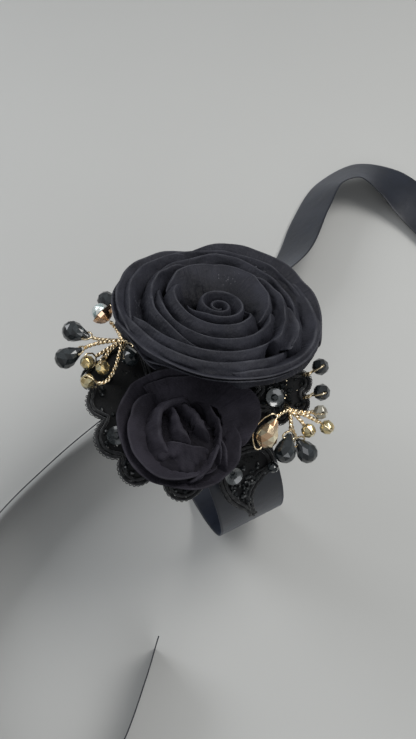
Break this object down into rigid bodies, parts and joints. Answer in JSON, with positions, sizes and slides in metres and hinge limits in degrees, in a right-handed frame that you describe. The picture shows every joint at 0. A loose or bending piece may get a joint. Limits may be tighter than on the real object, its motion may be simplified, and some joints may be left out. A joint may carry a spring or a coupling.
{
  "type": "wrist corsage",
  "caption": "Black wrist corsage with folded satin and chiffon roses, corded lace and beaded wire sprays on a tied satin ribbon.",
  "frame": {"origin": "middle of the ribbon's inner face at the top, where the corsage rests on the back of the wrist", "axes": "+X along the forearm, +Z out of the back of the wrist, -Y towards the small rose and the lace leaf"},
  "size_m": [0.2454, 0.1722, 0.0876],
  "materials": {
    "satin": "black satin ribbon with a soft sheen along its width",
    "rose_satin": "matte black satin ribbon, folded, with lighter selvedges",
    "chiffon": "soft dark chiffon with a purple cast",
    "felt": "black felt",
    "lace": "corded black lace with sewn beads",
    "jet_glass": "opaque black faceted glass",
    "gold_glass": "metallic gold-coated faceted glass",
    "smoky_glass": "smoky faceted glass",
    "champagne_crystal": "clear champagne crystal, faceted",
    "aurora_crystal": "pale aqua crystal, faceted",
    "rose_gold": "rose-gold plated cup",
    "gold_wire": "twisted gold-coloured wire"
  },
  "bodies": {
    "corsage": {"big_rose_bud": "rose_satin", "big_rose_foot": "felt", "big_rose_heart_petal_1": "rose_satin", "big_rose_heart_petal_2": "rose_satin", "big_rose_heart_petal_3": "rose_satin", "big_rose_inner_petal_1": "rose_satin", "big_rose_inner_petal_2": "rose_satin", "big_rose_inner_petal_3": "rose_satin", "big_rose_inner_petal_4": "rose_satin", "big_rose_middle_petal_1": "rose_satin", "big_rose_middle_petal_2": "rose_satin", "big_rose_middle_petal_3": "rose_satin", "big_rose_middle_petal_4": "rose_satin", "big_rose_outer_petal_1": "rose_satin", "big_rose_outer_petal_2": "rose_satin", "big_rose_outer_petal_3": "rose_satin", "big_rose_skirt_petal_1": "rose_satin", "big_rose_skirt_petal_2": "rose_satin", "crystal_ball": "aurora_crystal", "crystal_cup": "rose_gold", "felt_pad": "felt", "lace_leaf": "lace", "lace_rosette": "lace", "lace_spread": "lace", "left_spray_wire": "gold_wire", "ribbon_band": "satin", "ribbon_knot": "satin", "ribbon_tail_left": "satin", "ribbon_tail_right": "satin", "right_spray_wire": "gold_wire", "sequin_leaf": "jet_glass", "sequin_left": "jet_glass", "sequin_rosette": "jet_glass", "sewn_bead": "jet_glass", "small_rose_bud": "chiffon", "small_rose_foot": "felt", "small_rose_inner_petal_1": "chiffon", "small_rose_inner_petal_2": "chiffon", "small_rose_inner_petal_3": "chiffon", "small_rose_outer_petal_1": "chiffon", "small_rose_outer_petal_2": "chiffon", "small_rose_outer_petal_3": "chiffon", "small_rose_outer_petal_4": "chiffon"},
    "left_drop_1": {"left_drop_1": "jet_glass"},
    "left_drop_2": {"left_drop_2": "jet_glass"},
    "left_drop_3": {"left_drop_3": "jet_glass"},
    "left_drop_4": {"left_drop_4": "jet_glass"},
    "left_gold_bead_1": {"left_gold_bead_1": "gold_glass"},
    "left_gold_bead_2": {"left_gold_bead_2": "gold_glass"},
    "left_gold_bead_3": {"left_gold_bead_3": "gold_glass"},
    "pear_crystal": {"pear_crystal": "champagne_crystal"},
    "right_drop_1": {"right_drop_1": "jet_glass"},
    "right_drop_2": {"right_drop_2": "jet_glass"},
    "right_gold_bead_1": {"right_gold_bead_1": "gold_glass"},
    "right_gold_bead_2": {"right_gold_bead_2": "gold_glass"},
    "smoky_bead": {"smoky_bead": "smoky_glass"},
    "black_bead_1": {"black_bead_1": "jet_glass"},
    "black_bead_2": {"black_bead_2": "jet_glass"}
  },
  "joints": [
    {"name": "left_drop_1_swing", "type": "hinge", "parent": "corsage", "child": "left_drop_1", "pos_m": [-0.02211, 0.01934, 0.00337], "axis": [0.7482, 0.5858, -0.3115], "range_deg": [-8, 25]},
    {"name": "left_drop_2_swing", "type": "hinge", "parent": "corsage", "child": "left_drop_2", "pos_m": [-0.02574, 0.01467, 0.00443], "axis": [0.2039, 0.9115, -0.3572], "range_deg": [-8, 25]},
    {"name": "left_drop_3_swing", "type": "hinge", "parent": "corsage", "child": "left_drop_3", "pos_m": [-0.01386, 0.00832, 0.00549], "axis": [-0.9829, 0.1799, -0.0389], "range_deg": [-8, 25]},
    {"name": "left_drop_4_swing", "type": "hinge", "parent": "corsage", "child": "left_drop_4", "pos_m": [-0.01089, 0.02596, 0.00273], "axis": [0.9344, 0.2882, -0.2094], "range_deg": [-8, 25]},
    {"name": "left_gold_bead_1_turn", "type": "hinge", "parent": "corsage", "child": "left_gold_bead_1", "pos_m": [-0.02491, 0.00947, 0.00556], "axis": [-0.0038, 0.2376, 0.9714], "continuous": true},
    {"name": "left_gold_bead_2_turn", "type": "hinge", "parent": "corsage", "child": "left_gold_bead_2", "pos_m": [-0.02211, 0.00511, 0.00687], "axis": [-0.064, 0.0378, 0.9972], "continuous": true},
    {"name": "left_gold_bead_3_turn", "type": "hinge", "parent": "corsage", "child": "left_gold_bead_3", "pos_m": [-0.02706, 0.00346, 0.00655], "axis": [-0.0174, 0.1054, 0.9943], "continuous": true},
    {"name": "pear_crystal_turn", "type": "hinge", "parent": "corsage", "child": "pear_crystal", "pos_m": [0.00865, -0.02722, -0.00319], "axis": [-0.766, -0.4241, -0.4831], "continuous": true},
    {"name": "right_drop_1_swing", "type": "hinge", "parent": "corsage", "child": "right_drop_1", "pos_m": [0.01581, -0.03108, -0.00898], "axis": [-0.9584, -0.1745, -0.2258], "range_deg": [-8, 25]},
    {"name": "right_drop_2_swing", "type": "hinge", "parent": "corsage", "child": "right_drop_2", "pos_m": [0.01294, -0.02996, -0.00545], "axis": [-0.8496, 0.357, 0.3882], "range_deg": [-8, 25]},
    {"name": "right_gold_bead_1_turn", "type": "hinge", "parent": "corsage", "child": "right_gold_bead_1", "pos_m": [0.01891, -0.02995, -0.00669], "axis": [0.0103, -0.7735, 0.6337], "continuous": true},
    {"name": "right_gold_bead_2_turn", "type": "hinge", "parent": "corsage", "child": "right_gold_bead_2", "pos_m": [0.02399, -0.03086, -0.00801], "axis": [0.0181, -0.7938, 0.6079], "continuous": true},
    {"name": "smoky_bead_turn", "type": "hinge", "parent": "corsage", "child": "smoky_bead", "pos_m": [0.0236, -0.0278, -0.00442], "axis": [0.0058, -0.699, 0.7151], "continuous": true},
    {"name": "black_bead_1_turn", "type": "hinge", "parent": "corsage", "child": "black_bead_1", "pos_m": [0.02871, -0.01867, 0.0011], "axis": [0.0764, -0.4714, 0.8786], "continuous": true},
    {"name": "black_bead_2_turn", "type": "hinge", "parent": "corsage", "child": "black_bead_2", "pos_m": [0.02624, -0.02383, -0.00228], "axis": [0.0644, -0.6196, 0.7822], "continuous": true}
  ]
}
